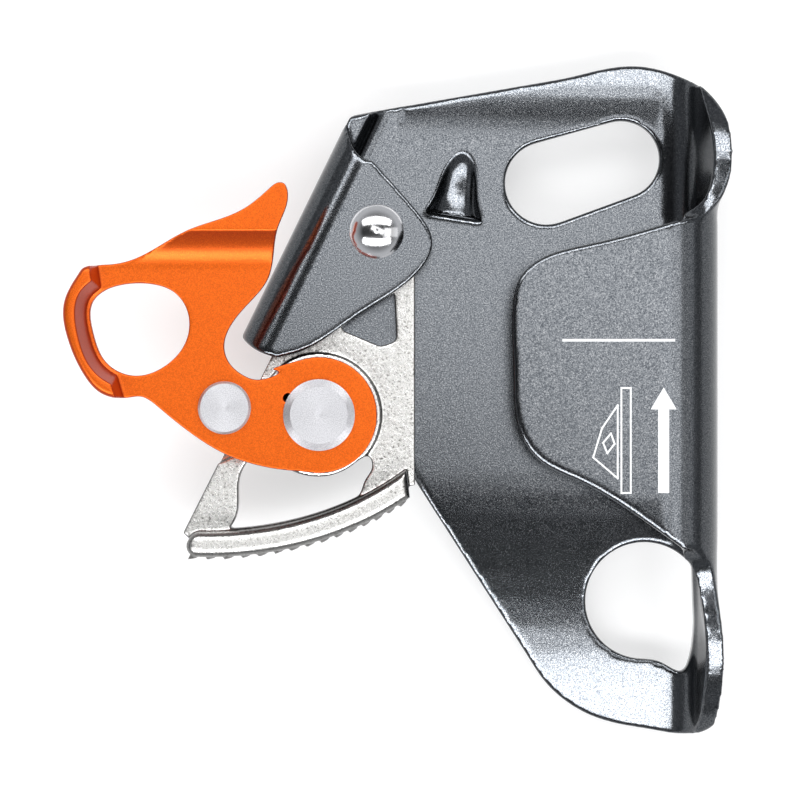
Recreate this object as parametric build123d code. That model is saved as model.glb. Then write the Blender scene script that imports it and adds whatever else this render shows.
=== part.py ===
from build123d import *
from math import atan2, cos, degrees, exp, hypot, radians, sin
import os

# Chest ascender: folded frame, toothed cam on a rivet, and a catch riveted to the cam.
# Millimetres, +Z up. The frame's flat back faces down, with the upper eye towards +Y.
# While it is drawn, the cam axle stands at X = 0, Y = 0 and the flat back at Z = 0.

# Frame: one folded sheet
SHEET = 3.5
FOLD_INNER_R = 4.25
FOLD_OUTER_R = FOLD_INNER_R + SHEET
FOLD_LEVEL = 2 * FOLD_OUTER_R - SHEET
FOLD_TILT = 26.0
FOLD_OFFSET = 7.05
FOLD_TOP = 24.2
FOLD_FOOT = -29.5
FOLD_ROOM = 30.0
MOUTH_LOW = 7.4
FOLD_SIDE = 59.0
TOP_EDGE_SLOPE = 10.8
CHANNEL_INNER_R = 8.25
CHANNEL_OUTER_R = CHANNEL_INNER_R + SHEET
CHANNEL_LEVEL = 2 * CHANNEL_OUTER_R - SHEET
CHANNEL_X = 54.4
PLATE_LEFT = -30.0
WALL_TOP_Z = 23.42
LUG_FOOT = (15.0, 3.3, 1.9)
LUG_FOOT_R = 5.8
LUG_LENGTH = 13.2
LUG_LEAN = 9.0
SWEEP_TOP_Y = 15.0
SWEEP_TOP_R = 70.0
SWEEP_TOP_LENGTH = 28.0
SWEEP_BOTTOM_Y = -46.0
SWEEP_BOTTOM_R = 230.0
SWEEP_BOTTOM_LENGTH = 60.0
# Stations of the wall past the channel's two ends: Y along the sheet, lean, curl
WALL_HIGH_Y = 2.0
WALL_LOW_Y = -60.5
WALL_TOP = [
    (WALL_HIGH_Y, 0.3, 0.997), (3, 3, 0.93), (5.5, 13, 0.55), (9, 18, 0.2), (14, 20, 0.03), (22, 19, 0.03),
    (28, 17, 0.03), (36, 14, 0.03),
]
WALL_BOTTOM = [
    (WALL_LOW_Y, 0.3, 0.997), (-62, 1, 0.95), (-68, 6, 0.55), (-75, 11, 0.15), (-84, 13, 0.03),
    (-93, 12, 0.03), (-102, 8, 0.03),
]
WALL_TUCK = 0.06
WALL_LAP = 0.5

# Cam
HUB_LOW = 4.2
HUB_HIGH = 11.3
RIM_LOW = 4.3
RIM_HIGH = 18.6
RIM_WIDTH = 5.4
RIM_END_R = 2.1
RIM_EDGE_R = 1.6
SEAT_HIGH = 15.3
SEAT_R = 11.9
GROOVE = 2.2
CAM_SIDE = 7.4
POCKET_LEVEL = 14.0
RELIEF_X = 5.7
RELIEF_HIGH = 7.8
SPIRAL_R = 51.8
SPIRAL_START = 7.1
SPIRAL_END = -31.4
SPIRAL_RATE = 0.52
TOOTH_LOW = 6.5
TOOTH_HIGH = 16.5
TOOTH_HEIGHT = 1.1
TOOTH_R = 0.75

# Catch
PIVOT_X = -11.1
PIVOT_Y = -35.5
CATCH_BOSS_R = 11.2
CATCH_THICK = 2.5
CATCH_LOW = 15.9
CATCH_HIGH = CATCH_LOW + CATCH_THICK
CATCH_STEP = 3.5
JOGGLE_LOW_Y = -6.8
JOGGLE_HIGH_Y = 0.9
JOGGLE_LAG = 0.9
CATCH_TURN = 20.0
LIP_TOP = 24.5
LIP_FLARE = 2.7
LIP_END_SLOPE = 1.8
LIP_CREST_R = 1.1
RING_MIDDLE = (-45.6, -19.2)
PIN_X = -29.3
PIN_Y = -34.1
PIN_SHANK_R = 2.6

# Pins, sleeves and washers
AXLE_R = 3.9
AXLE_HEAD_R = 5.3
BUSHING_R = 5.0
HUB_BORE_R = 5.05
WASHER_THICK = 0.6
WASHER_R = 7.5
PIVOT_R = 3.5
PIVOT_SLEEVE_R = 4.5
PIVOT_BORE_R = 4.55
PIVOT_HEAD_R = 6.9
PIN_HEAD_R = 5.1
PIVOT_BEVEL = (1.35, 0.8)
PIN_BEVEL = (0.45, 0.45)
HEAD_HIGH = 19.7
TAIL_R = 5.2
TAIL_DEEP = 1.2
DOME_RISE = 2.4
PIN_LOW = 5.0
TAIL_WASHER_R = 5.8
TAIL_WASHER_LOW = 5.6
CATCH_WASHER_R = (8.3, 10.9)
CAM_SPRING_R = 6.85
CAM_SPRING_WIRE = 1.0
CAM_SPRING_HIGH = 4.5
CATCH_SPRING_R = 6.75
CATCH_SPRING_WIRE = 0.9
SPRING_ROOM = 0.9
SPRING_LEG = (-17.1, -32.2)
SPRING_LEG_R = 0.9
FIT = 0.03
GAP = 0.02
SHIFT_TOLERANCE = 0.02

Z_AXIS = (0, 0, 1)


def prism(outline, low, high):
    """Upright solid between two levels over a closed outline."""
    return extrude(Pos(0, 0, low) * make_face(outline), amount=high - low, dir=Z_AXIS)


def disc(x, y, radius, low, high):
    return Pos(x, y, low) * Cylinder(radius, high - low, align=(Align.CENTER, Align.CENTER, Align.MIN))


def ring(x, y, inner, outer, low, high):
    return disc(x, y, outer, low, high) - disc(x, y, inner, low - 1, high + 1)


def box(x0, x1, y0, y1, z0, z1):
    return Pos(x0, y0, z0) * Box(x1 - x0, y1 - y0, z1 - z0, align=(Align.MIN,) * 3)


def polar(x, y, radius, angle):
    return (x + radius * cos(radians(angle)), y + radius * sin(radians(angle)))


def closed(*curves):
    """Joins open curves end to end, with a straight side wherever two ends differ."""
    edges = []
    for here, following in zip(curves, curves[1:] + curves[:1]):
        edges.append(here)
        gap = (here @ 1) - (following @ 0)
        if gap.length > 1e-6:
            edges.append(Line(here @ 1, following @ 0))
    return Curve() + edges


def fold_direction():
    """Unit vectors of the left fold: up along it, and outwards from the axle."""
    along = Vector(sin(radians(FOLD_TILT)), cos(radians(FOLD_TILT)), 0)
    outwards = Vector(-cos(radians(FOLD_TILT)), sin(radians(FOLD_TILT)), 0)
    return along, outwards


def fold_point(out, up):
    along, outwards = fold_direction()
    return outwards * out + along * up


def bent_back(y):
    """Place on the sheet's back at a given Y along it; its two ends curve gently backwards."""
    for bend_y, radius, side in ((SWEEP_TOP_Y, SWEEP_TOP_R, 1), (SWEEP_BOTTOM_Y, SWEEP_BOTTOM_R, -1)):
        past = (y - bend_y) * side
        if past > 0:
            turn = past / radius
            place = (0, bend_y + side * radius * sin(turn), radius * (cos(turn) - 1))
            return Location(place, (-side * degrees(turn), 0, 0))
    return Location((0, y, 0))


def channel_face():
    """Section of the plate and of the open-sided channel that its right fold makes."""
    mid_z = CHANNEL_OUTER_R
    top_z = 2 * mid_z
    flap_left = 20
    return make_face(Plane.XZ * (Curve() + [
        Line((PLATE_LEFT, 0), (CHANNEL_X, 0)),
        ThreePointArc((CHANNEL_X, 0), (CHANNEL_X + CHANNEL_OUTER_R, mid_z), (CHANNEL_X, top_z)),
        Line((CHANNEL_X, top_z), (flap_left, top_z)),
        Line((flap_left, top_z), (flap_left, CHANNEL_LEVEL)),
        Line((flap_left, CHANNEL_LEVEL), (CHANNEL_X, CHANNEL_LEVEL)),
        ThreePointArc((CHANNEL_X, CHANNEL_LEVEL), (CHANNEL_X + CHANNEL_INNER_R, mid_z), (CHANNEL_X, SHEET)),
        Line((CHANNEL_X, SHEET), (PLATE_LEFT, SHEET)),
        Line((PLATE_LEFT, SHEET), (PLATE_LEFT, 0)),
    ]))


def plate_face():
    """Section of the flat of the sheet alone, a little past the foot of the right fold."""
    strip = Rectangle(CHANNEL_X + WALL_LAP - PLATE_LEFT, SHEET, align=(Align.MIN, Align.MIN))
    return make_face(Plane.XZ * (Pos(PLATE_LEFT, 0, 0) * strip))


def straight_run(face, low_y, high_y):
    return extrude(Pos(0, low_y, 0) * face, amount=high_y - low_y, dir=(0, 1, 0))


def bent_run(face, bend_y, radius, side, length):
    """A section carried backwards round a bend, towards +Y or -Y as side is 1 or -1."""
    axis = Axis((0, bend_y, -radius), (-side, 0, 0))
    return revolve(Pos(0, bend_y, 0) * face, axis=axis, revolution_arc=degrees(length / radius))


def wall_section(y, lean, curl):
    """Section of the wall: out of the plate's bend, leaning outwards and curling over.

    lean is the angle from upright where the bend ends; curl is 1 for a round fold and
    nearly 0 for a straight flange. The section is a hair thinner than the plate.
    """
    outer_r = CHANNEL_OUTER_R - WALL_TUCK
    inner_r = CHANNEL_INNER_R + WALL_TUCK
    bend = curl / outer_r
    start = radians(lean)

    def root(radius, part):
        angle = radians(90 - (90 - lean) * part)
        return Vector(CHANNEL_X + radius * cos(angle), CHANNEL_OUTER_R - radius * sin(angle))

    def flange(part, depth):
        angle = start - curl * radians(90) * part
        outer = root(outer_r, 1) + Vector(cos(angle) - cos(start), sin(start) - sin(angle)) / bend
        return outer + Vector(-cos(angle), sin(angle)) * depth

    front = [flange(part, 0) for part in (0, 0.5, 1)]
    back = [flange(part, outer_r - inner_r) for part in (1, 0.5, 0)]
    outline = Curve() + [
        ThreePointArc(root(outer_r, 0), root(outer_r, 0.5), front[0]),
        ThreePointArc(*front),
        Line(front[2], back[0]),
        ThreePointArc(*back),
        ThreePointArc(back[2], root(inner_r, 0.5), root(inner_r, 0)),
        Line(root(inner_r, 0), root(outer_r, 0)),
    ]
    return bent_back(y) * make_face(Plane.XZ * outline)


def flared_wall(stations):
    return loft([wall_section(*station) for station in stations])


def sheet_metal():
    """The whole sheet before it is trimmed to its outline."""
    channel = channel_face()
    plate = plate_face()
    body = straight_run(channel, SWEEP_BOTTOM_Y, WALL_HIGH_Y)
    body += bent_run(channel, SWEEP_BOTTOM_Y, SWEEP_BOTTOM_R, -1, SWEEP_BOTTOM_Y - WALL_LOW_Y)
    body += bent_run(plate, SWEEP_BOTTOM_Y, SWEEP_BOTTOM_R, -1, SWEEP_BOTTOM_LENGTH)
    body += straight_run(plate, WALL_HIGH_Y, SWEEP_TOP_Y)
    body += bent_run(plate, SWEEP_TOP_Y, SWEEP_TOP_R, 1, SWEEP_TOP_LENGTH)
    return body + flared_wall(WALL_TOP) + flared_wall(WALL_BOTTOM)


def plate_outline():
    """Outline of the back plate, from the top of the left fold and clockwise."""
    top_left = fold_point(FOLD_OFFSET, FOLD_TOP)
    fold_foot = fold_point(FOLD_OFFSET, FOLD_FOOT)
    top = Spline(
        (36, 30.4), (44, 32.3), (51, 33.0), (57, 31.8), (63.4, 28.2), (66.8, 24), (70, 18), (74, 10),
        tangents=[(1, 0.19), (0.2, -1)],
    )
    corner = Spline(
        (71, -84), (68.3, -93), (64.6, -97.2), (60, -98.3), (51.8, -97.2),
        tangents=[(0, -1), (-1, 0.15)],
    )
    heel = Spline(
        (51.8, -97.2), (45.0, -95.8), (38.6, -92.9), (33.4, -88.5), (29.3, -82.5),
        tangents=[(-1, 0.15), (-0.53, 0.85)],
    )
    waist = Spline(
        (8.0, -49.3), (4.1, -40.4), (-2.4, -31.2), (-9.5, -25.8), (fold_foot.X, fold_foot.Y),
        tangents=[(-0.53, 0.85), (-1, 0.1)],
    )
    return closed(Line((top_left.X, top_left.Y), (36, 30.4)), top, corner, heel, waist)


def flap_outline():
    """Outline of the right flap; its right side runs past the fold."""
    edge = Spline(
        (58, 1.9), (47.5, -1.1), (38.8, -3.1), (31.6, -5.4), (27.4, -9.3), (26.0, -16),
        (26.2, -28), (27.7, -39.4), (31.4, -44.4), (38.6, -48.1), (48.3, -53.7), (60, -62.0),
        tangents=[(-1, -0.27), (1, -0.72)],
    )
    return closed(edge, Line((90, -62.0), (90, 1.9)))


def wall_outline():
    """Side view of the right wall: Y across, Z up."""
    upper = Spline(
        (1.9, WALL_TOP_Z), (2.2, 22.0), (3.0, 20.2), (5.4, 18.8), (10.0, 18.1), (18.0, 16.6),
        (24.0, 13.6), (30.0, 9.5), (36.0, 5.5), (46, 2),
        tangents=[(0.2, -1), (1, -0.2)],
    )
    lower = Spline(
        (-106, 0), (-99, 2.6), (-95.5, 6.3), (-90, 11.0), (-82, 14.3), (-75, 15.4), (-68.5, 16.2),
        (-64.6, 17.4), (-62.4, 19.4), (-61.4, 21.6), (-61.0, WALL_TOP_Z),
        tangents=[(0.8, 0.1), (1, 0.7)],
    )
    return closed(upper, Line((46, -14), (-103, -14)), lower)


def upper_eye():
    """Slot with unequal round ends, joined by its two common tangents."""
    left = Vector(33.2, 9.9)
    right = Vector(47.8, 14.6)
    left_r = 8.1
    right_r = 7.5
    span = right - left
    lean = degrees(atan2(span.Y, span.X))
    ends = []
    for centre, radius, facing in ((left, left_r, 180), (right, right_r, 0)):
        points = [polar(centre.X, centre.Y, radius, lean + a) for a in (90, facing, -90)]
        ends.append(ThreePointArc(*points))
    first, second = ends
    return Curve() + [first, second, Line(first @ 0, second @ 0), Line(first @ 1, second @ 1)]


def lower_eye():
    """Round eye that runs into the wall on its right, with a small foot there."""
    centre = (52.4, -72.0)
    radius = 11.5
    end = polar(*centre, radius, -92)
    round_side = ThreePointArc(polar(*centre, radius, 38), polar(*centre, radius, 153), end)
    foot = Spline(
        end, (56.2, -84.3), (59.8, -85.8), (61.3, -82.5), (61.9, -76),
        tangents=[(1, -0.03), (0.05, 1)],
    )
    return closed(round_side, foot)


def fold_tube():
    """Half a tube along the left fold, lapping over the plate and the flap."""
    along, outwards = fold_direction()
    mid_z = FOLD_OUTER_R
    top_z = 2 * FOLD_OUTER_R
    lap = -1.0
    sideways = outwards.cross(Vector(0, 0, 1))
    section = Curve() + [
        Line((lap, 0), (0, 0)),
        ThreePointArc((0, 0), (FOLD_OUTER_R, mid_z), (0, top_z)),
        Line((0, top_z), (lap, top_z)),
        Line((lap, top_z), (lap, FOLD_LEVEL)),
        Line((lap, FOLD_LEVEL), (0, FOLD_LEVEL)),
        ThreePointArc((0, FOLD_LEVEL), (FOLD_INNER_R, mid_z), (0, SHEET)),
        Line((0, SHEET), (lap, SHEET)),
        Line((lap, SHEET), (lap, 0)),
    ]
    plane = Plane(origin=fold_point(FOLD_OFFSET, -40), x_dir=outwards, z_dir=sideways)
    return extrude(plane * make_face(section), amount=68, dir=tuple(along))


def left_fold():
    """The fold that carries the cam: half a tube, and the flap in front of the hub."""
    lobe_outline = closed(
        Spline(
            (-20.3, -24.3), (-13.1, -22.5), (-3.4, -16.1), (7.4, -8.5), (10.8, -2.3), (7.4, 4.4),
            (-0.2, 13.0), (-3.4, 17.0),
            tangents=[(1, 0.05), (-0.6, 0.8)],
        ),
        Line((-12, 25), (-40, -20)),
    )
    lobe = prism(lobe_outline, FOLD_LEVEL, 2 * FOLD_OUTER_R)
    lobe = lobe & (Pos(*fold_point(FOLD_OFFSET, 0)) * Rot(0, 0, -FOLD_TILT) * box(0, 40, -60, 60, 0, 30))
    foot = prism(
        closed(
            Spline((-28, -17.5), (-25.8, -21.0), (-23.1, -23.1), (-19.5, -24.3), (-14, -24.4)),
            Line((-14, -60), (-60, -60)),
        ),
        -2, FOLD_ROOM,
    )
    # The open top slopes back as the sheet comes round to the front.
    mouth = extrude(
        Plane.YZ.offset(-40) * make_face(closed(
            Spline((0.1, -2), (0, 3), (-0.6, 8), (-3.4, 12.5), (-7.0, 17), tangents=[(-0.01, 1), (-0.7, 1)]),
            Line((40, 17), (40, -2)),
        )),
        amount=80, dir=(1, 0, 0),
    )
    top_left = fold_point(FOLD_OFFSET, FOLD_TOP)
    mouth = Pos(top_left.X, top_left.Y, 0) * Rot(0, 0, TOP_EDGE_SLOPE) * mouth
    # The front of the tube is cut away from the lobe's top corner up to the tube's outer side.
    notch = prism(
        closed(
            Spline((-7.4, 23.8), (-6.0, 20.6), (-5.0, 17.4), (-3.5, 14.9), (-0.6, 13.4), (4, 12.4)),
            Line((12, 40), (-12, 40)),
        ),
        MOUTH_LOW, FOLD_ROOM,
    )
    return fold_tube() - foot - mouth - notch + lobe


def stop_lug():
    """Half bell pressed up from the plate, round at its top and sheared square below."""
    side = Spline(
        (LUG_FOOT_R, 0), (4.5, 3.2), (3.6, 8.0), (2.3, 11.6), (0, LUG_LENGTH),
        tangents=[(-0.5, 1), (-1, 0)],
    )
    half = make_face(Plane.XZ * closed(side, Line((0, LUG_LENGTH), (0, 0))))
    bell = revolve(half, axis=Axis.Z)
    along = Vector(sin(radians(LUG_LEAN)), cos(radians(LUG_LEAN)), 0)
    return (Plane(origin=LUG_FOOT, z_dir=along) * bell) & box(0, 30, 0, 30, 1.0, 12)


def frame():
    plate_zone = prism(plate_outline(), -14, 9)
    flap_zone = prism(flap_outline(), 15, WALL_TOP_Z + GAP)
    wall = extrude(Plane.YZ.offset(FOLD_SIDE) * make_face(wall_outline()), amount=30, dir=(1, 0, 0))
    wall_zone = wall & prism(plate_outline(), -20, 40)
    inside = box(-60, FOLD_SIDE, -120, 60, -20, 40)
    zone = (plate_zone & inside) + (flap_zone & inside) + wall_zone
    body = (sheet_metal() & zone) + left_fold() + stop_lug()
    body -= prism(upper_eye(), -14, 9)
    body -= prism(lower_eye(), -14, 15)
    body -= disc(0, 0, AXLE_R + FIT, -1, 20)
    return body - disc(0, 0, TAIL_R + FIT, -1, TAIL_DEEP)


def axle_rivet():
    """Domed head in front, shank, and a flat tail flush in the plate's back."""
    flap_top = 2 * FOLD_OUTER_R
    dome_r = (AXLE_HEAD_R ** 2 + DOME_RISE ** 2) / (2 * DOME_RISE)
    dome = Pos(0, 0, flap_top + DOME_RISE - dome_r) * Sphere(dome_r)
    head = dome & disc(0, 0, AXLE_HEAD_R + 1, flap_top + GAP, flap_top + 10)
    shank = disc(0, 0, AXLE_R, GAP, flap_top + 0.5)
    return head + shank + disc(0, 0, TAIL_R, GAP, TAIL_DEEP - GAP)


def cam_point(theta, inset=0.0):
    """Point of the working spiral; theta in degrees from straight down, + to the right."""
    radius = SPIRAL_R * exp(SPIRAL_RATE * radians(SPIRAL_START - theta)) - inset
    return (radius * sin(radians(theta)), -radius * cos(radians(theta)))


def spiral(theta_from, theta_to, inset=0.0):
    steps = 6
    step = (theta_to - theta_from) / steps
    return Spline(*[cam_point(theta_from + step * i, inset) for i in range(steps + 1)])


def cam_rim():
    outer = spiral(SPIRAL_START, SPIRAL_END)
    inner = spiral(SPIRAL_END, SPIRAL_START, RIM_WIDTH)
    rim = prism(closed(outer, inner), RIM_LOW, RIM_HIGH)
    ends = rim.edges().filter_by(Axis.Z).sort_by(Axis.X)[:2]
    rim = fillet(ends, RIM_END_R)
    front = rim.edges().filter_by_position(Axis.Z, RIM_HIGH, RIM_HIGH)
    return fillet(front, RIM_EDGE_R)


def cam_teeth():
    """Staggered rows of small pointed teeth, square to the spiral."""
    columns = 15
    rows = 5
    first = SPIRAL_START - 1.6
    reach = first - SPIRAL_END - 2.0
    root = 0.35
    lean = degrees(atan2(SPIRAL_RATE, 1))
    teeth = []
    for column in range(columns):
        theta = first - reach * column / (columns - 1)
        x, y = cam_point(theta, root)
        stagger = column % 2
        for row in range(rows - stagger):
            z = TOOTH_LOW + (TOOTH_HIGH - TOOTH_LOW) * (row + 0.5 * stagger) / (rows - 1)
            cone = Cone(TOOTH_R, 0.15, TOOTH_HEIGHT + root, align=(Align.CENTER, Align.CENTER, Align.MIN))
            away = (sin(radians(theta - lean)), -cos(radians(theta - lean)), 0)
            teeth.append(Plane(origin=(x, y, z), z_dir=away) * cone)
    return teeth


def cam_web_outline():
    """Hub, straight right side, spiral and left arm."""
    side = Line((CAM_SIDE, -5.5), (CAM_SIDE, -49.2))
    bottom = spiral(SPIRAL_START, SPIRAL_END + 1.5, 2.2)
    arm = Line((-37.6, -58.4), (-19.1, -21.5))
    flank = Line((-19.1, -21.5), (-8.0, -3.2))
    hub = ThreePointArc((-8.0, -3.2), (0.6, 8.58), (CAM_SIDE, -4.4))
    return closed(side, bottom, arm, flank, hub)


def cam_raised_outline():
    """The part that stands higher, below and to the right of the frame's left flap."""
    return closed(
        Line((CAM_SIDE, -9.6), (CAM_SIDE, -49.2)),
        spiral(SPIRAL_START, -7.0, 2.2),
        Line((-6.0, -46.0), (-13.0, -34.0)),
        Spline((-13.0, -23.1), (-8.4, -20.8), (-3.4, -16.9), (1.9, -13.0)),
    )


def cam_window():
    """The large opening between the rim, the arm and the catch's seat."""
    return closed(
        spiral(-26.6, -4.6, 5.9),
        Spline(cam_point(-4.6, 5.9), (-2.4, -48.4), (-0.9, -45.4), (-1.6, -43.6), (-4.0, -44.6),
               tangents=[(1, 0.4), (-0.8, -0.6)]),
        ThreePointArc((-4.0, -44.6), (-13.0, -47.4), (-21.6, -41.6)),
        Spline((-21.6, -41.6), (-25.0, -44.3), (-26.7, -47.6), (-26.9, -52.0), cam_point(-26.6, 5.9)),
    )


def cam_hole():
    """Rounded three-sided hole beside the hub."""
    corners = make_face(Polyline((2.2, -12.4), (2.6, -20.3), (0.8, -20.9), (-5.6, -18.2), close=True))
    return offset(corners, amount=1.2)


def cam_pocket():
    """Shallow pocket round the hole."""
    corners = make_face(Polyline((4.4, -9.9), (3.9, -24.3), (2.6, -24.6), (-7.6, -19.0), close=True))
    return offset(corners, amount=1.5)


def spring_room(x, y, radius, low, high):
    return ring(x, y, radius - SPRING_ROOM, radius + SPRING_ROOM, low, high)


def cam():
    seat_at = (PIVOT_X, PIVOT_Y)
    body = prism(cam_web_outline(), HUB_LOW, HUB_HIGH)
    body += prism(cam_raised_outline(), HUB_LOW, RIM_HIGH)
    body -= disc(*seat_at, CATCH_BOSS_R + GROOVE, HUB_HIGH, RIM_HIGH + 5)
    body += disc(*seat_at, SEAT_R, HUB_LOW, SEAT_HIGH)
    body += cam_rim()
    body -= prism(cam_window(), HUB_LOW - 1, RIM_HIGH + 5)
    body += cam_teeth()
    body -= extrude(Pos(0, 0, POCKET_LEVEL) * cam_pocket(), amount=20, dir=Z_AXIS)
    body -= extrude(cam_hole(), amount=40, dir=Z_AXIS)
    # Relief that lets the straight side close up to the stop lug.
    body -= box(RELIEF_X, CAM_SIDE + 5, -23.0, -6.0, 0, RELIEF_HIGH)
    # Hub bore and the ring-shaped room of the closing spring.
    body -= disc(0, 0, HUB_BORE_R, 0, 20)
    body -= spring_room(0, 0, CAM_SPRING_R, 0, HUB_LOW + CAM_SPRING_HIGH + SPRING_ROOM)
    # Seat bore, room of the catch spring, and the recess of the rivet's tail.
    body -= disc(*seat_at, PIVOT_SLEEVE_R + 0.01, 0, 20)
    body -= spring_room(*seat_at, CATCH_SPRING_R, SEAT_HIGH - 3.6, SEAT_HIGH + 5)
    body -= disc(*seat_at, TAIL_WASHER_R + 0.1, 0, TAIL_WASHER_LOW + WASHER_THICK)
    # Path of the stop pin's shank, an arc about the catch's pivot.
    path_r = hypot(PIN_X - PIVOT_X, PIN_Y - PIVOT_Y)
    start = degrees(atan2(PIN_Y - PIVOT_Y, PIN_X - PIVOT_X))
    half = PIN_SHANK_R + 0.5
    sweep = ring(*seat_at, path_r - half, path_r + half + 6, PIN_LOW - 0.6, 30)
    first = polar(*seat_at, 60, start - 12)
    last = polar(*seat_at, 60, start + CATCH_TURN + 10)
    wedge = prism(Polyline(seat_at, first, last, close=True), PIN_LOW - 0.6, 30)
    return body - (sweep & wedge)


def catch_outline():
    """The catch seen from the front, with its tip up and its ring at the left."""
    boss_start = polar(PIVOT_X, PIVOT_Y, CATCH_BOSS_R, 105)
    boss_end = polar(PIVOT_X, PIVOT_Y, CATCH_BOSS_R, -98)
    right = Spline(
        (-17.6, 8.9), (-17.0, 6.8), (-19.1, 0.1), (-20.9, -9.1), (-24.7, -14), (-28.1, -18.2),
        (-29.4, -22.2), (-28.3, -25.6), (-25.4, -28.0), (-22.0, -28.6), (-18.6, -27.1), boss_start,
        tangents=[(0.6, -0.8), (0.966, 0.259)],
    )
    boss = ThreePointArc(boss_start, polar(PIVOT_X, PIVOT_Y, CATCH_BOSS_R, 0), boss_end)
    lower = Spline(
        boss_end, (-17.7, -46.1), (-25.4, -44.5), (-29.7, -42.8), (-35.4, -39.3), (-41.6, -34.4),
        (-45.2, -32.0), (-50.2, -32.2),
        tangents=[(-1, 0.14), (-1, 0.1)],
    )
    side = Spline(
        (-50.2, -32.2), (-55.8, -28.2), (-59.3, -20.5), (-59.6, -12.9), (-57.0, -8.2), (-52.6, -6.5),
        tangents=[(-1, 0.15), (1, 0.1)],
    )
    top = Spline(
        (-52.6, -6.5), (-46.2, -5.2), (-36.6, -0.1), (-25.8, 4), (-20.9, 7.8), (-18.9, 9.2), (-17.6, 8.9),
        tangents=[(1, 0.0), (0.8, -0.7)],
    )
    return closed(right, boss, lower, side, top)


def catch_hole(spread=0.0):
    """Finger hole of the catch; spread widens it outwards from its middle."""
    middle = Vector(*RING_MIDDLE)
    points = [
        (-51.3, -11.0), (-43.1, -10.3), (-38.6, -12.2), (-36.2, -16.7), (-37.0, -21.8),
        (-41.2, -26.3), (-46.8, -27.9), (-51.9, -25.6), (-54.6, -19.8), (-54.4, -13.2),
    ]
    pushed = [Vector(*p) + (Vector(*p) - middle).normalized() * spread for p in points]
    return Curve() + [Spline(*pushed, periodic=True)]


def catch_sheet(low_edge, high_edge):
    """The catch's sheet: flat at the boss, with its tip joggled towards the front."""
    foot_y = -60
    tip_y = 20
    section = closed(
        Spline(
            (JOGGLE_LOW_Y, CATCH_LOW), (JOGGLE_HIGH_Y, CATCH_LOW + CATCH_STEP),
            tangents=[(1, 0), (1, 0.9)],
        ),
        Line((tip_y, CATCH_LOW + CATCH_STEP), (tip_y, CATCH_HIGH + CATCH_STEP)),
        Spline(
            (JOGGLE_HIGH_Y - JOGGLE_LAG, CATCH_HIGH + CATCH_STEP), (JOGGLE_LOW_Y - JOGGLE_LAG, CATCH_HIGH),
            tangents=[(-1, -0.9), (-1, 0)],
        ),
        Line((foot_y, CATCH_HIGH), (foot_y, CATCH_LOW)),
    )
    return extrude(Plane.YZ.offset(low_edge) * make_face(section), amount=high_edge - low_edge, dir=(1, 0, 0))


def catch():
    sheet = catch_sheet(-70, 10) & prism(catch_outline(), CATCH_LOW - 1, LIP_TOP)
    hole = prism(catch_hole(), CATCH_LOW - 1, LIP_TOP + 1)
    body = sheet - hole
    # Lip of the finger ring, bent to the front between its two bend lines.
    outer = prism(catch_outline(), CATCH_LOW, LIP_TOP)
    zone = make_face(Polyline(
        (-75, -4), (-53.4, -5.6), (-52.5, -11.5), (-49.4, -28.2), (-48.0, -33), (-75, -40), close=True))
    lip_side = loft([Pos(0, 0, CATCH_LOW) * zone, Pos(-LIP_END_SLOPE, 0, LIP_TOP) * zone])
    flare = loft([
        Pos(0, 0, CATCH_LOW - GAP) * make_face(catch_hole()),
        Pos(0, 0, LIP_TOP + GAP) * make_face(catch_hole(LIP_FLARE)),
    ])
    lip = (outer & lip_side) - flare
    crest = lip.edges().filter_by_position(Axis.Z, LIP_TOP, LIP_TOP).sort_by(Axis.X)[0]
    body += fillet(crest, LIP_CREST_R)
    body -= disc(PIVOT_X, PIVOT_Y, PIVOT_BORE_R, 0, 30)
    body -= disc(PIN_X, PIN_Y, PIN_SHANK_R + 0.01, 0, 30)
    return body - disc(*SPRING_LEG, SPRING_LEG_R, 0, 30)


def flat_head(x, y, radius, bevel):
    """Flat rivet head on the catch, with a turned bevel (width, height) round its rim."""
    width, height = bevel
    rim = disc(x, y, radius, CATCH_HIGH + GAP, HEAD_HIGH - height)
    cone = Cone(radius, radius - width, height, align=(Align.CENTER, Align.CENTER, Align.MIN))
    return rim + Pos(x, y, HEAD_HIGH - height) * cone


def catch_pivot_rivet():
    head = flat_head(PIVOT_X, PIVOT_Y, PIVOT_HEAD_R, PIVOT_BEVEL)
    shank = disc(PIVOT_X, PIVOT_Y, PIVOT_R, HUB_LOW + 0.1, CATCH_HIGH + 0.5)
    tail = disc(PIVOT_X, PIVOT_Y, TAIL_R, HUB_LOW + 0.1, TAIL_WASHER_LOW - GAP)
    return head + shank + tail


def stop_pin():
    head = flat_head(PIN_X, PIN_Y, PIN_HEAD_R, PIN_BEVEL)
    return head + disc(PIN_X, PIN_Y, PIN_SHANK_R, PIN_LOW, CATCH_HIGH + 0.5)


def coil(centre, radius, wire, low, pitch, turns):
    path = Pos(*centre, low) * Helix(pitch=pitch, height=pitch * turns, radius=radius)
    return sweep(Plane(origin=path @ 0, z_dir=path % 0) * Circle(wire / 2), path=path, is_frenet=True)


def cam_spring():
    return coil((0, 0), CAM_SPRING_R, CAM_SPRING_WIRE, HUB_LOW + 0.7, pitch=1.25, turns=3)


def catch_spring():
    return coil((PIVOT_X, PIVOT_Y), CATCH_SPRING_R, CATCH_SPRING_WIRE, SEAT_HIGH - 3.0, pitch=1.05, turns=2.5)


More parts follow.
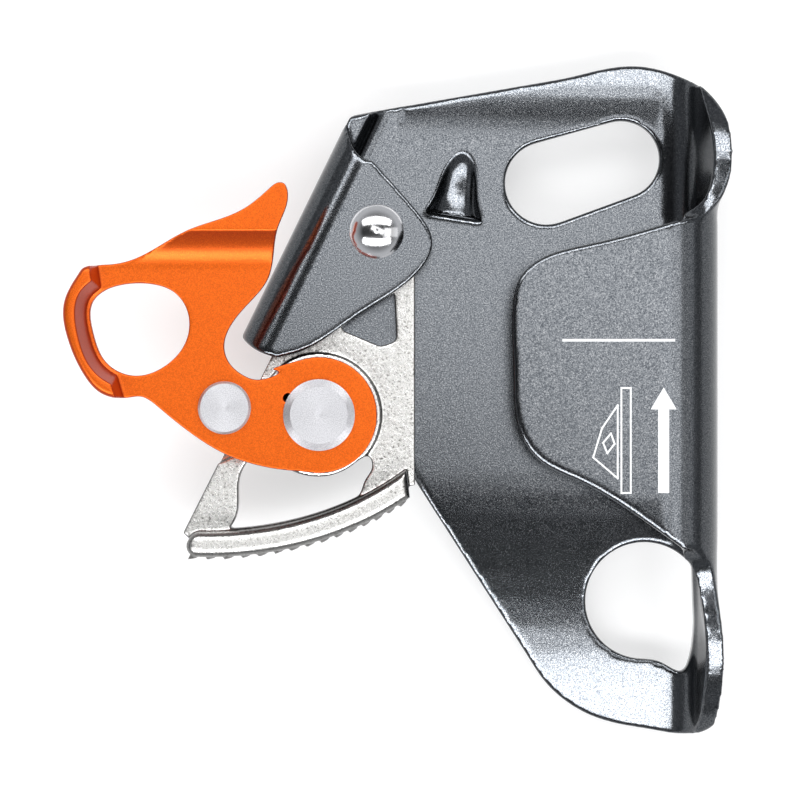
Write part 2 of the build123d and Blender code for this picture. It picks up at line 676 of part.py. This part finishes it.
def parts():
    flap_back = FOLD_LEVEL
    sleeve_low = TAIL_WASHER_LOW + WASHER_THICK
    at_pivot = (PIVOT_X, PIVOT_Y)
    return {
        "frame": frame(),
        "cam_axle_rivet": axle_rivet(),
        "cam_axle_bushing": ring(0, 0, AXLE_R + FIT, BUSHING_R, SHEET + GAP, flap_back - GAP),
        "cam_rear_washer": ring(0, 0, BUSHING_R + FIT, WASHER_R, SHEET + GAP, SHEET + WASHER_THICK),
        "cam_front_washer": ring(0, 0, BUSHING_R + FIT, WASHER_R, flap_back - WASHER_THICK, flap_back - GAP),
        "cam": cam(),
        "cam_spring": cam_spring(),
        "catch_pivot_rivet": catch_pivot_rivet(),
        "catch_pivot_bushing": ring(*at_pivot, PIVOT_R + FIT, PIVOT_SLEEVE_R, sleeve_low + GAP, CATCH_HIGH),
        "catch_tail_washer": ring(*at_pivot, PIVOT_R + FIT, TAIL_WASHER_R, TAIL_WASHER_LOW, sleeve_low - GAP),
        "catch_washer": ring(*at_pivot, *CATCH_WASHER_R, SEAT_HIGH + GAP, CATCH_LOW - GAP),
        "catch": catch(),
        "stop_pin": stop_pin(),
        "catch_spring": catch_spring(),
    }


def placed(pieces):
    """Moves the whole ascender so that its box stands centred on the origin."""
    points = [point for piece in pieces.values() for point in piece.tessellate(SHIFT_TOLERANCE)[0]]
    x, y, z = ([getattr(point, side) for point in points] for side in "XYZ")
    shift = Pos(-(min(x) + max(x)) / 2, -(min(y) + max(y)) / 2, -min(z))
    return {name: shift * piece for name, piece in pieces.items()}, shift


if __name__ == "__main__":
    os.makedirs("parts", exist_ok=True)
    pieces, offset_used = placed(parts())
    for name, piece in pieces.items():
        export_step(piece, f"parts/{name}.step")
    print("axle stands at", offset_used.position)
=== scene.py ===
import bpy
import math
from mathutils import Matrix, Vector


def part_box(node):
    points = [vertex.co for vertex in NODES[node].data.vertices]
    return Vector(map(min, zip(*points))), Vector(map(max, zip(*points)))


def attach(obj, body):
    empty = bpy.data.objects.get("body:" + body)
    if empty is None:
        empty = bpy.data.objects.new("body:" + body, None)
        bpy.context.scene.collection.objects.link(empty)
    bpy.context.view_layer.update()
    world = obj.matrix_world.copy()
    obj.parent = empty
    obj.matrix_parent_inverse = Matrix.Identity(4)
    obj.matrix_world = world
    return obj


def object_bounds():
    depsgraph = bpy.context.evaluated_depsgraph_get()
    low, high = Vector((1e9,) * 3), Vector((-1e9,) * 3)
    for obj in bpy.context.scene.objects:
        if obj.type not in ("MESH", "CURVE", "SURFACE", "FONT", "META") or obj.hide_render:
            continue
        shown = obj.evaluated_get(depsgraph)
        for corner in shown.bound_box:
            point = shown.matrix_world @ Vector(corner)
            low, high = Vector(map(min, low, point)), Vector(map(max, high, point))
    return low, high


# Looks of the chest ascender: fine-grained metals, printed marks, floor, light and camera.

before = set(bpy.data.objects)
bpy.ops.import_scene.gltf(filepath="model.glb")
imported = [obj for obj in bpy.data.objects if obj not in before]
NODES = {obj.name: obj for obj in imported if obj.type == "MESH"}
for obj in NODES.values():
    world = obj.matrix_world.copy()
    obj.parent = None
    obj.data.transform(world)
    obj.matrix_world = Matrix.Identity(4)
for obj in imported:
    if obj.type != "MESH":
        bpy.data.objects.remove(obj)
cad_low, cad_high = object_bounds()

MM = 0.001

FLOOR_GLOW = 0.5

# Places that the looks are measured from, in metres.
TURNED_PIECES = ("cam_axle_rivet", "catch_pivot_rivet", "stop_pin")
AXLE, PIVOT, PIN = (sum(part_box(node), Vector()) / 2 for node in TURNED_PIECES)
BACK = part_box("cam_axle_rivet")[0].z


def at(x, y, z=0.0):
    """Point in metres from millimetres measured from the cam's axle and the plate's back."""
    return Vector((AXLE.x + x * MM, AXLE.y + y * MM, BACK + z * MM))


# ---------------------------------------------------------------- materials


def set_inputs(node, numbers):
    """Sets a node's input sockets by name."""
    for key, number in numbers.items():
        node.inputs[key].default_value = number


class Shader:
    """A material and short calls that add nodes to it."""

    def __init__(self, name, colour, metallic, roughness):
        self.material = bpy.data.materials.new(name)
        self.material.use_nodes = True
        self.tree = self.material.node_tree
        self.surface = self.tree.nodes["Principled BSDF"]
        set_inputs(self.surface, {"Base Color": (*colour, 1), "Metallic": metallic, "Roughness": roughness})
        self.place = self.add("ShaderNodeTexCoord").outputs["Object"]

    def add(self, kind, **settings):
        node = self.tree.nodes.new(kind)
        for key, value in settings.items():
            setattr(node, key, value)
        return node

    def link(self, output, target):
        self.tree.links.new(output, target)

    def noise(self, grain_mm, detail=2.0, roughness=0.5):
        """Noise whose features are about grain_mm across."""
        node = self.add("ShaderNodeTexNoise")
        set_inputs(node, {"Scale": 1.0 / (grain_mm * MM), "Detail": detail, "Roughness": roughness})
        self.link(self.place, node.inputs["Vector"])
        return node.outputs["Fac"]

    def ramp(self, value, stops):
        """Colour ramp; stops is a list of (position, colour)."""
        node = self.add("ShaderNodeValToRGB")
        ramp = node.color_ramp
        while len(ramp.elements) < len(stops):
            ramp.elements.new(0.5)
        for element, (position, colour) in zip(ramp.elements, stops):
            element.position = position
            element.color = (*colour, 1)
        self.link(value, node.inputs["Fac"])
        return node.outputs["Color"]

    def span(self, value, low, high, low_in=0.0, high_in=1.0):
        """Maps low_in..high_in to low..high, clamped."""
        node = self.add("ShaderNodeMapRange")
        set_inputs(node, {"From Min": low_in, "From Max": high_in, "To Min": low, "To Max": high})
        self.link(value, node.inputs["Value"])
        return node.outputs["Result"]

    def maths(self, operation, first, second):
        node = self.add("ShaderNodeMath", operation=operation)
        for socket, value in zip(node.inputs, (first, second)):
            if isinstance(value, (int, float)):
                socket.default_value = value
            else:
                self.link(value, socket)
        return node.outputs[0]

    def bump(self, height, depth_mm, strength=1.0, after=None):
        node = self.add("ShaderNodeBump")
        set_inputs(node, {"Strength": strength, "Distance": depth_mm * MM})
        self.link(height, node.inputs["Height"])
        if after is not None:
            self.link(after, node.inputs["Normal"])
        return node.outputs["Normal"]

    def radius_from(self, centre):
        """Distance in metres from a vertical axis through centre."""
        shift = self.add("ShaderNodeVectorMath", operation="SUBTRACT")
        shift.inputs[1].default_value = centre
        self.link(self.place, shift.inputs[0])
        flat = self.add("ShaderNodeVectorMath", operation="MULTIPLY")
        flat.inputs[1].default_value = (1, 1, 0)
        self.link(shift.outputs[0], flat.inputs[0])
        size = self.add("ShaderNodeVectorMath", operation="LENGTH")
        self.link(flat.outputs[0], size.inputs[0])
        return size.outputs["Value"]

    def painted_steep_shade(self, low, high, dark):
        """Painted shade: from dark on steep sides and cut edges to 1 where the face looks up or down."""
        parts = self.add("ShaderNodeSeparateXYZ")
        self.link(self.add("ShaderNodeTexCoord").outputs["Normal"], parts.inputs[0])
        level = self.maths("ABSOLUTE", parts.outputs["Z"], 0)
        return self.span(level, dark, 1.0, low, high)

    def tinted(self, colour, tint):
        """A colour multiplied by a second colour or a grey level."""
        node = self.add("ShaderNodeMix", data_type="RGBA", blend_type="MULTIPLY")
        node.inputs[0].default_value = 1.0
        self.link(colour, node.inputs[6])
        self.link(tint, node.inputs[7])
        return node.outputs[2]

    def finish(self, colour=None, roughness=None, normal=None):
        for key, output in (("Base Color", colour), ("Roughness", roughness), ("Normal", normal)):
            if output is not None:
                self.link(output, self.surface.inputs[key])
        return self.material


def frame_metal():
    """Dark grey anodised alloy: a satin gloss broken up by a coarse, sparkling grain; painted shade darkens
    its steep sides and cut edges.
    """
    s = Shader("frame_anodised", (0.22, 0.235, 0.255), 1.0, 0.17)
    grain = s.noise(0.23, 2.0, 0.55)
    fine = s.noise(0.15, 2.0)
    broad = s.noise(7.0, 2.0)
    colour = s.ramp(grain, [
        (0.36, (0.085, 0.095, 0.110)), (0.50, (0.215, 0.230, 0.250)), (0.60, (0.29, 0.305, 0.325)),
        (0.70, (0.47, 0.48, 0.50)),
    ])
    roughness = s.maths("ADD", s.span(grain, 0.12, 0.21), s.span(broad, -0.02, 0.02))
    # Painted shade: the colour is darkened on steep sides and cut edges.
    shaded = s.tinted(colour, s.painted_steep_shade(0.78, 0.99, 0.30))
    return s.finish(shaded, roughness, s.bump(grain, 0.02, 0.26, s.bump(fine, 0.006, 0.3)))


def cam_metal():
    """Nickel-plated casting: bright, with a lumpy skin and darker pits; painted shade darkens its steep
    sides and edges.
    """
    s = Shader("cam_nickel", (0.86, 0.83, 0.78), 1.0, 0.42)
    skin = s.noise(0.5, 4.0, 0.65)
    lumps = s.noise(1.6, 2.0)
    colour = s.ramp(skin, [
        (0.30, (0.07, 0.066, 0.06)), (0.37, (0.52, 0.51, 0.49)), (0.48, (0.90, 0.89, 0.87)),
        (0.70, (1.0, 0.995, 0.98)),
    ])
    roughness = s.span(skin, 0.40, 0.20, 0.3, 0.7)
    # Painted shade: the colour is darkened on steep sides and cut edges.
    shaded = s.tinted(colour, s.painted_steep_shade(0.82, 0.985, 0.24))
    return s.finish(shaded, roughness, s.bump(skin, 0.10, 0.55, s.bump(lumps, 0.16, 0.5)))


def catch_metal():
    """Orange anodised alloy, satin, with a very fine grain; painted shade turns its steep sides and edges
    dark orange-brown.
    """
    s = Shader("catch_anodised", (0.86, 0.15, 0.005), 0.6, 0.30)
    fine = s.noise(0.22, 3.0)
    broad = s.noise(8.0, 2.0)
    colour = s.ramp(fine, [
        (0.3, (0.66, 0.095, 0.002)), (0.6, (0.88, 0.145, 0.004)), (0.8, (1.0, 0.210, 0.012)),
    ])
    roughness = s.maths("ADD", s.span(fine, 0.26, 0.38), s.span(broad, -0.03, 0.03))
    # Painted shade: steep sides and cut edges are tinted dark orange-brown.
    edges = s.ramp(s.painted_steep_shade(0.70, 0.985, 0.0), [(0.0, (0.50, 0.28, 0.20)), (1.0, (1.0, 1.0, 1.0))])
    return s.finish(s.tinted(colour, edges), roughness, s.bump(fine, 0.008, 0.5))


def turned_metal(name, centre, ring_mm):
    """Turned steel face: concentric tool marks and a small centre mark."""
    s = Shader(name, (0.82, 0.82, 0.84), 1.0, 0.34)
    radius = s.radius_from(centre)
    wobble = s.maths("MULTIPLY", s.noise(1.5, 2.0), 0.05 * MM)
    phase = s.maths("MULTIPLY", s.maths("ADD", radius, wobble), 2 * math.pi / (ring_mm * MM))
    rings = s.maths("SINE", phase, 0)
    fine = s.noise(0.2, 3.0)
    colour = s.ramp(fine, [(0.3, (0.54, 0.54, 0.57)), (0.7, (0.84, 0.84, 0.87))])
    roughness = s.span(fine, 0.30, 0.46)
    dent = s.span(radius, 0.0, 1.0, 0.0, 0.9 * MM)
    return s.finish(colour, roughness, s.bump(rings, 0.006, 0.6, s.bump(dent, 0.12, 0.5)))


def polished_metal():
    s = Shader("rivet_polished", (0.86, 0.86, 0.88), 1.0, 0.16)
    roughness = s.span(s.noise(0.9, 3.0), 0.10, 0.18)
    dent = s.span(s.radius_from(AXLE), 0.0, 1.0, 0.0, 0.55 * MM)
    return s.finish(None, roughness, s.bump(dent, 0.10, 0.6, s.bump(s.noise(1.2, 2.0), 0.03, 0.25)))


def plain_metal(name, colour, roughness):
    """Small inner metal pieces: faint scratches and tone."""
    s = Shader(name, colour, 1.0, roughness)
    tone = s.noise(0.4, 3.0)
    darker = tuple(0.7 * c for c in colour)
    return s.finish(s.ramp(tone, [(0.3, darker), (0.7, colour)]),
                    s.span(tone, roughness - 0.08, roughness + 0.1), s.bump(tone, 0.01, 0.3))


def print_ink():
    s = Shader("print_white", (0.82, 0.83, 0.84), 0.0, 0.55)
    speck = s.noise(0.18, 3.0)
    return s.finish(s.ramp(speck, [(0.25, (0.60, 0.61, 0.63)), (0.45, (0.82, 0.83, 0.84))]),
                    s.span(speck, 0.5, 0.65), s.bump(speck, 0.006, 0.4))


def floor_paint():
    s = Shader("floor_pale", (0.52, 0.52, 0.525), 0.0, 0.6)
    set_inputs(s.surface, {"Emission Color": (1.0, 1.0, 1.0, 1), "Emission Strength": FLOOR_GLOW})
    tone = s.noise(60.0, 2.0)
    return s.finish(s.ramp(tone, [(0.3, (0.515, 0.517, 0.522)), (0.7, (0.53, 0.532, 0.535))]),
                    s.span(tone, 0.55, 0.65), None)


def dress(node, material):
    """Gives a CAD node its material, on every slot."""
    mesh = NODES[node].data
    mesh.materials.clear()
    mesh.materials.append(material)


# ------------------------------------------------------- softened CAD edges


SMOOTH_FACTOR = 0.5


def soften(node, voxel_mm, passes):
    """Rounds a CAD node's edges: an even remesh, then a few smoothing passes."""
    piece = NODES[node]
    remesh = piece.modifiers.new("even", "REMESH")
    remesh.mode = "VOXEL"
    remesh.voxel_size = voxel_mm * MM
    remesh.use_smooth_shade = True
    smooth = piece.modifiers.new("rounded", "SMOOTH")
    smooth.factor = SMOOTH_FACTOR
    smooth.iterations = passes


dress("frame", frame_metal())
dress("cam", cam_metal())
dress("catch", catch_metal())
dress("cam_axle_rivet", polished_metal())
dress("catch_pivot_rivet", turned_metal("pivot_turned", PIVOT, ring_mm=0.22))
dress("stop_pin", turned_metal("pin_turned", PIN, ring_mm=0.18))
bronze = plain_metal("sleeve_bronze", (0.55, 0.36, 0.16), 0.35)
washer_steel = plain_metal("washer_steel", (0.55, 0.55, 0.56), 0.35)
spring_steel = plain_metal("spring_steel", (0.42, 0.42, 0.44), 0.3)
for name in ("cam_axle_bushing", "catch_pivot_bushing"):
    dress(name, bronze)
for name in ("cam_front_washer", "cam_rear_washer", "catch_washer", "catch_tail_washer"):
    dress(name, washer_steel)
for name in ("cam_spring", "catch_spring"):
    dress(name, spring_steel)

soften("frame", voxel_mm=0.35, passes=18)
soften("cam", voxel_mm=0.25, passes=4)
soften("catch", voxel_mm=0.25, passes=4)


# ------------------------------------------------------------ printed marks

# Millimetres from the cam's axle, and above the plate's back.
FLAP_LEVEL = 23.44
PRINT_LIFT = 0.01
PRINT_THICK = 0.02
PRINT_STEP = 0.001
PRINT_STROKE = 0.34
ARROW_X = 55.0
ARROW_LOW = -50.4
ARROW_NECK = -34.4
ARROW_TIP = -30.2
ARROW_SHAFT = 1.05
ARROW_HEAD = 2.5
CLAMP_SIGN = [(46.2, -33.6), (43.2, -38.0), (41.5, -43.6), (46.2, -47.6)]
CAM_SIGN = [(44.9, -39.0), (43.4, -40.8), (44.2, -42.8), (45.6, -41.0)]
printed = []


def print_shape(name, outline, material):
    """Thin printed area on the right flap; outline is in millimetres from the axle."""
    low = FLAP_LEVEL + PRINT_LIFT + PRINT_STEP * len(printed)
    printed.append(name)
    count = len(outline)
    points = [at(x, y, low) for x, y in outline] + [at(x, y, low + PRINT_THICK) for x, y in outline]
    faces = [list(range(count))[::-1], [count + i for i in range(count)]]
    for i in range(count):
        j = (i + 1) % count
        faces.append([i, j, count + j, count + i])
    mesh = bpy.data.meshes.new(name)
    mesh.from_pydata(points, [], faces)
    mesh.materials.append(material)
    piece = bpy.data.objects.new(name, mesh)
    bpy.context.scene.collection.objects.link(piece)
    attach(piece, "frame")


def rectangle(x0, x1, y0, y1):
    """Corners of an upright rectangle."""
    return [(x0, y0), (x1, y0), (x1, y1), (x0, y1)]


ink = print_ink()
RULE = rectangle(35.6, 57.2, -21.4, -20.9)
ROPE_SIGN = rectangle(46.9, 48.7, -50.4, -30.3)
print_shape("arrow_mark", [
    (ARROW_X - ARROW_SHAFT, ARROW_LOW), (ARROW_X + ARROW_SHAFT, ARROW_LOW),
    (ARROW_X + ARROW_SHAFT, ARROW_NECK), (ARROW_X + ARROW_HEAD, ARROW_NECK), (ARROW_X, ARROW_TIP),
    (ARROW_X - ARROW_HEAD, ARROW_NECK), (ARROW_X - ARROW_SHAFT, ARROW_NECK),
], ink)
print_shape("rule_mark", RULE, ink)


def print_line(name, start, end, width=PRINT_STROKE):
    """Thin printed stroke with square ends."""
    first, last = Vector(start), Vector(end)
    along = (last - first).normalized() * width / 2
    across = Vector((-along.y, along.x))
    corners = (
        first - along - across, last + along - across, last + along + across, first - along + across,
    )
    print_shape(name, corners, ink)


def print_outline(name, corners):
    """Closed outline of printed strokes."""
    for number, (here, following) in enumerate(zip(corners, corners[1:] + corners[:1])):
        print_line(f"{name}_{number}", here, following)


# A plain sign: a rope that runs through a clamp, with the clamp's cam as a small lozenge.
print_outline("rope_mark", ROPE_SIGN)
print_outline("clamp_mark", CLAMP_SIGN)
print_outline("cam_mark", CAM_SIGN)


# ----------------------------------------------------------- floor and light


FLOOR_HALF = 3.0
FLOOR_GAP = 0.0005


def floor():
    """Plain pale floor just under the part."""
    mesh = bpy.data.meshes.new("floor")
    corners = [(x, y, 0) for x, y in rectangle(-FLOOR_HALF, FLOOR_HALF, -FLOOR_HALF, FLOOR_HALF)]
    mesh.from_pydata(corners, [], [(0, 1, 2, 3)])
    mesh.materials.append(floor_paint())
    piece = bpy.data.objects.new("floor", mesh)
    bpy.context.scene.collection.objects.link(piece)
    piece.location.z = cad_low.z - FLOOR_GAP


# Soft lights: degrees from straight up, half-widths in degrees, radiance and distance in metres.
LIGHT_AWAY = 1.4
SOFTBOXES = {
    "overhead": ((3, 6.4), (21, 7.9), 1.2, LIGHT_AWAY),
    "overhead_right": ((33.5, -3), (14, 11.5), 0.66, 1.3),
    "beyond_top": ((0, 37), (42, 11), 3.2, LIGHT_AWAY),
    "beyond_bottom": ((0, -33), (42, 10.5), 4.3, LIGHT_AWAY),
    "right_side": ((48, 0), (13, 22), 0.42, LIGHT_AWAY),
}


def softbox(name, towards, half, radiance, away):
    """Rectangular soft light that faces the part."""
    side, along = (math.tan(math.radians(angle)) for angle in towards)
    place = Vector((side, along, 1)).normalized() * away
    light = bpy.data.lights.new(name, "AREA")
    light.shape = "RECTANGLE"
    light.size, light.size_y = (2 * away * math.tan(math.radians(angle)) for angle in half)
    light.energy = 4 * light.size * light.size_y * radiance
    lamp = bpy.data.objects.new(name, light)
    lamp.location = place
    lamp.rotation_euler = (-place).to_track_quat("-Z", "Y").to_euler()
    bpy.context.scene.collection.objects.link(lamp)


floor()
for box_name, settings in SOFTBOXES.items():
    softbox(box_name, *settings)

# The room: height above the horizon where its glow starts to fall and ends, and both strengths.
GLOW_TINT = (0.95, 0.97, 1.0, 1)
GLOW_HEIGHTS = {"From Min": 0.25, "From Max": 0.7, "To Min": 0.5, "To Max": 0.03}


def studio_world():
    """Dark above, with a grey glow round the horizon."""
    world = bpy.data.worlds.new("studio")
    world.use_nodes = True
    tree = world.node_tree
    direction = tree.nodes.new("ShaderNodeTexCoord")
    parts = tree.nodes.new("ShaderNodeSeparateXYZ")
    glow = tree.nodes.new("ShaderNodeMapRange")
    set_inputs(glow, GLOW_HEIGHTS)
    tree.links.new(direction.outputs["Generated"], parts.inputs[0])
    tree.links.new(parts.outputs["Z"], glow.inputs["Value"])
    background = tree.nodes["Background"]
    set_inputs(background, {"Color": GLOW_TINT})
    tree.links.new(glow.outputs["Result"], background.inputs["Strength"])
    return world


bpy.context.scene.world = studio_world()
bpy.context.scene.view_settings.view_transform = "Standard"

# ------------------------------------------------------------------- camera

VIEW_WIDTH = 155.2 * MM
CAMERA_AWAY = 0.9
SENSOR = 36.0
# What the camera looks at, in millimetres from the cam's axle and the plate's back.
VIEW_CENTRE = (4.5, -32.6, 12.0)

lens = bpy.data.cameras.new("camera")
lens.sensor_width = SENSOR
lens.lens = SENSOR * CAMERA_AWAY / VIEW_WIDTH
camera = bpy.data.objects.new("camera", lens)
camera.location = at(*VIEW_CENTRE) + Vector((0, 0, CAMERA_AWAY))
bpy.context.scene.collection.objects.link(camera)
bpy.context.scene.camera = camera
